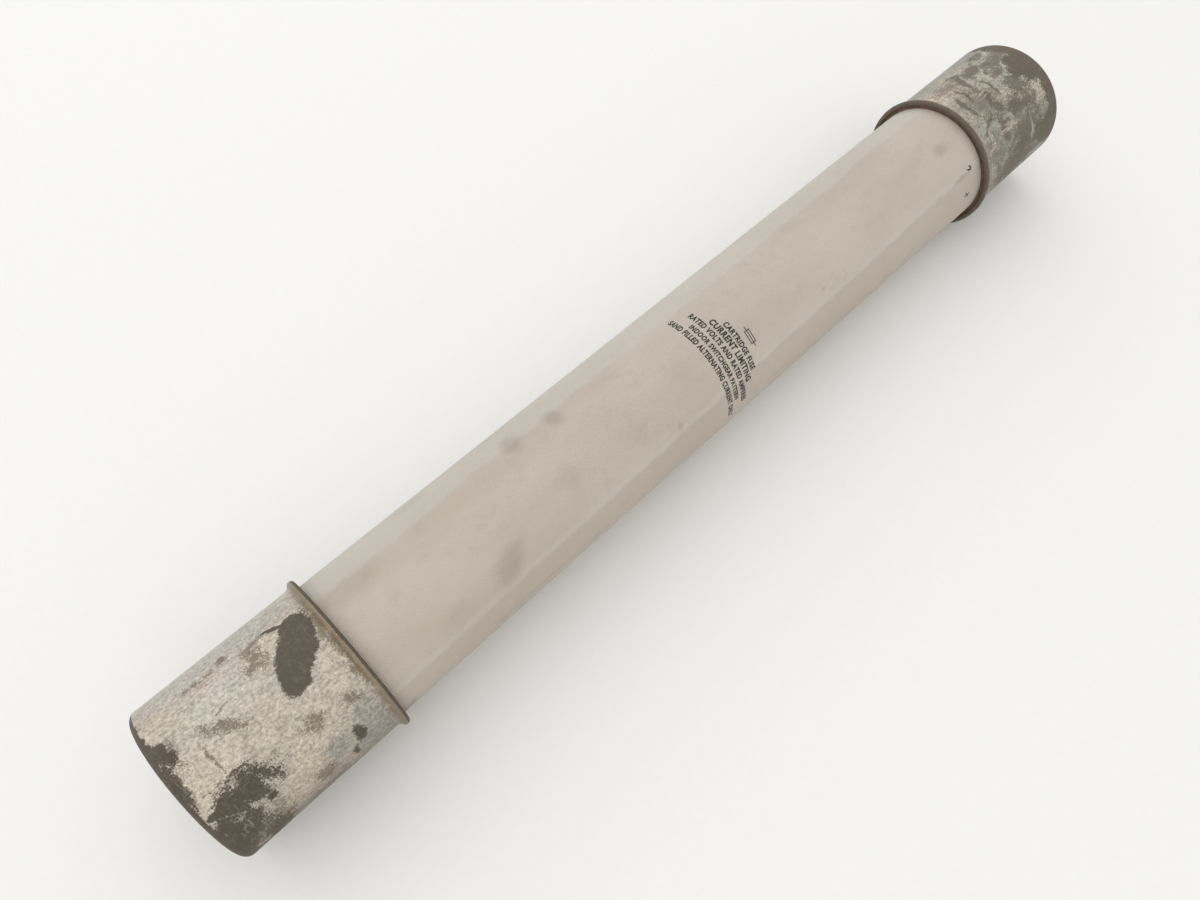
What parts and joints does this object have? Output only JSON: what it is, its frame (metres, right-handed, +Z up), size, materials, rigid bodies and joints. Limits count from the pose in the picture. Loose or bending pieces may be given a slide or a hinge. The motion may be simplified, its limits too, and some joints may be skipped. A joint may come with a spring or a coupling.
{
  "type": "cartridge fuse",
  "caption": "Medium-voltage current-limiting cartridge fuse: sand-filled glass-resin barrel, flared silver-plated ferrules and a pop-out blown-fuse indicator.",
  "frame": {"origin": "middle of the fuse's length, on the barrel's axis", "axes": "+X along the barrel, away from the end that holds the blown-fuse indicator; +Z up as the fuse lies on its two flared rims"},
  "size_m": [0.6, 0.0812, 0.0812],
  "materials": {
    "silver_plate": "silver plate on drawn copper alloy, cloudy with brown sulphide tarnish",
    "glass_resin": "matte wound glass-fibre and resin, pinkish beige",
    "black_ink": "black marking ink printed on the barrel",
    "cement": "dark cured resin bead",
    "turned_brass": "turned brass, satin",
    "indicator_red": "red enamel on a brass plunger",
    "spring_steel": "drawn spring wire",
    "trip_wire": "fine resistance wire",
    "copper": "stamped copper, satin",
    "zinc_steel": "zinc-plated steel",
    "mica": "bonded mica board",
    "silver_ribbon": "rolled fine silver",
    "tin_alloy": "dull tin alloy",
    "felt": "pressed wool felt",
    "quartz_sand": "packed dry quartz sand"
  },
  "bodies": {
    "fuse": {"barrel": "glass_resin", "lower_ferrule": "silver_plate", "upper_ferrule": "silver_plate", "lower_cement": "cement", "upper_cement": "cement", "lower_end_plate": "turned_brass", "upper_end_plate": "turned_brass", "fill_plug": "turned_brass", "lower_felt_ring": "felt", "upper_felt_ring": "felt", "indicator_housing": "turned_brass", "indicator_spring": "spring_steel", "spring_seat": "turned_brass", "indicator_wire": "trip_wire", "wire_anchor": "turned_brass", "lower_terminal": "copper", "upper_terminal": "copper", "lower_strap_a": "copper", "lower_strap_b": "copper", "upper_strap_a": "copper", "upper_strap_b": "copper", "strap_screws": "zinc_steel", "strap_rivets": "copper", "spider_board_a": "mica", "spider_board_b": "mica", "element_1": "silver_ribbon", "element_2": "silver_ribbon", "element_3": "silver_ribbon", "element_4": "silver_ribbon", "melting_pads": "tin_alloy", "sand_fill": "quartz_sand"},
    "indicator": {"indicator_plunger": "indicator_red"}
  },
  "joints": [
    {"name": "indicator_slide", "type": "slide", "parent": "fuse", "child": "indicator", "axis": [-1, 0, 0], "range_m": [0, 0.0127], "deforming": ["indicator_spring"]}
  ]
}
